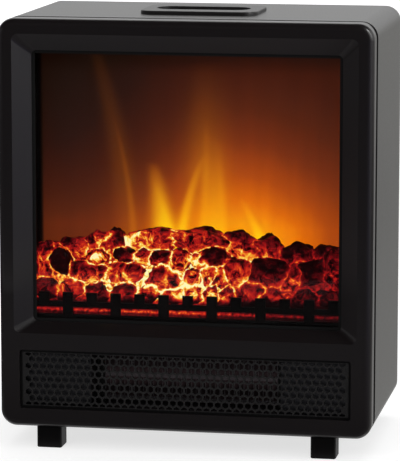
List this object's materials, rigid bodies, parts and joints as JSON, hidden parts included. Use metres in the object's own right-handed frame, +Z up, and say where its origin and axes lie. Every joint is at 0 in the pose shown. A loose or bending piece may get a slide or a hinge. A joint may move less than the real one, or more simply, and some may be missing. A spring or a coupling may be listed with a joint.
{
  "type": "tabletop electric fireplace",
  "caption": "Tabletop electric fireplace: black casing with bevelled window, lit coal bed and flame screen, fan-heater grille below, carry handle on top.",
  "frame": {"origin": "middle of the footprint, on the table", "axes": "+X right, +Y to the back, +Z up; the window faces -Y"},
  "size_m": [0.34, 0.198, 0.3953],
  "materials": {
    "casing_steel": "satin black coat on steel sheet",
    "bezel_plastic": "fine-grained black moulding",
    "foot_plastic": "black moulding",
    "handle_plastic": "fine-grained black moulding",
    "zinc_steel": "zinc plated",
    "gasket_rubber": "soft black",
    "window_glass": "clear polished",
    "liner_steel": "matt black coat",
    "flame_screen": "translucent printed acrylic",
    "grate_plastic": "black moulding",
    "coal_resin": "translucent moulding with black-sprayed tops",
    "circuit_board": "white solder mask",
    "led_lens": "clear amber lens",
    "mirror_foil": "bright foil",
    "white_nylon": "natural nylon",
    "grille_steel": "satin black coat",
    "duct_steel": "galvanised",
    "heater_aluminium": "as rolled",
    "heat_plastic": "glass-filled",
    "motor_iron": "laminated",
    "coil_tape": "yellow tape",
    "control_plastic": "black moulding",
    "rocker_plastic": "gloss black"
  },
  "bodies": {
    "appliance": {"casing_wrap": "casing_steel", "front_bezel": "bezel_plastic", "bezel_base_screws": "zinc_steel", "foot_front_left": "foot_plastic", "foot_front_right": "foot_plastic", "foot_rear_left": "foot_plastic", "foot_rear_right": "foot_plastic", "foot_fasteners": "zinc_steel", "window_gasket": "gasket_rubber", "window_glass": "window_glass", "chamber_liner": "liner_steel", "liner_screws": "zinc_steel", "fuel_shelf": "liner_steel", "flame_screen": "flame_screen", "screen_clips": "zinc_steel", "fire_grate": "grate_plastic", "coal_bed": "coal_resin", "led_bracket": "zinc_steel", "led_board": "circuit_board", "led_lamps": "led_lens", "motor_bracket": "zinc_steel", "flicker_motor": "zinc_steel", "rod_bracket": "zinc_steel", "rod_bush": "white_nylon", "outlet_grille": "grille_steel", "outlet_duct": "duct_steel", "duct_screws": "zinc_steel", "heater_core": "heater_aluminium", "heater_frames": "heat_plastic", "thermal_cutout": "heat_plastic", "blower_scroll": "duct_steel", "blower_tongue": "duct_steel", "blower_end_plate_left": "duct_steel", "blower_end_plate_right": "duct_steel", "blower_bearing": "white_nylon", "motor_bridges": "heater_aluminium", "motor_stator": "motor_iron", "motor_coil": "coil_tape", "rear_panel": "casing_steel", "rear_panel_screws": "zinc_steel", "cord_bush": "gasket_rubber", "terminal_block": "white_nylon", "control_plate": "control_plastic", "control_screws": "zinc_steel", "switch_housings": "control_plastic", "thermostat_body": "white_nylon", "tip_switch_body": "control_plastic", "handle_plate": "handle_plastic", "handle_cup": "handle_plastic"},
    "flicker_spindle": {"flicker_rod": "zinc_steel", "flicker_vanes": "mirror_foil"},
    "blower_rotor": {"blower_impeller": "heater_aluminium", "blower_shaft": "zinc_steel", "motor_rotor": "motor_iron"},
    "thermostat_dial": {"thermostat_spindle": "zinc_steel", "thermostat_knob": "rocker_plastic"},
    "tip_plunger": {"tip_switch_plunger": "white_nylon"},
    "flame_rocker": {"flame_rocker": "rocker_plastic"},
    "low_heat_rocker": {"low_heat_rocker": "rocker_plastic"},
    "high_heat_rocker": {"high_heat_rocker": "rocker_plastic"}
  },
  "joints": [
    {"name": "flicker_spin", "type": "hinge", "parent": "appliance", "child": "flicker_spindle", "pos_m": [0, -0.004, 0.14], "axis": [1, 0, 0], "continuous": true},
    {"name": "blower_spin", "type": "hinge", "parent": "appliance", "child": "blower_rotor", "pos_m": [0, 0.013, 0.0644], "axis": [1, 0, 0], "continuous": true},
    {"name": "thermostat_turn", "type": "hinge", "parent": "appliance", "child": "thermostat_dial", "pos_m": [0.036, 0.0895, 0.3], "axis": [0, 1, 0], "range_deg": [0, 270]},
    {"name": "tip_press", "type": "slide", "parent": "appliance", "child": "tip_plunger", "axis": [0, 0, -1], "range_m": [0, 0.006], "stiffness_N_per_m": 40, "springref_m": 0.008},
    {"name": "flame_rocker_tilt", "type": "hinge", "parent": "appliance", "child": "flame_rocker", "pos_m": [-0.037, 0.089, 0.3], "axis": [-1, 0, 0], "range_deg": [0, 20]},
    {"name": "low_heat_rocker_tilt", "type": "hinge", "parent": "appliance", "child": "low_heat_rocker", "pos_m": [-0.015, 0.089, 0.3], "axis": [-1, 0, 0], "range_deg": [0, 20]},
    {"name": "high_heat_rocker_tilt", "type": "hinge", "parent": "appliance", "child": "high_heat_rocker", "pos_m": [0.007, 0.089, 0.3], "axis": [-1, 0, 0], "range_deg": [0, 20]}
  ]
}
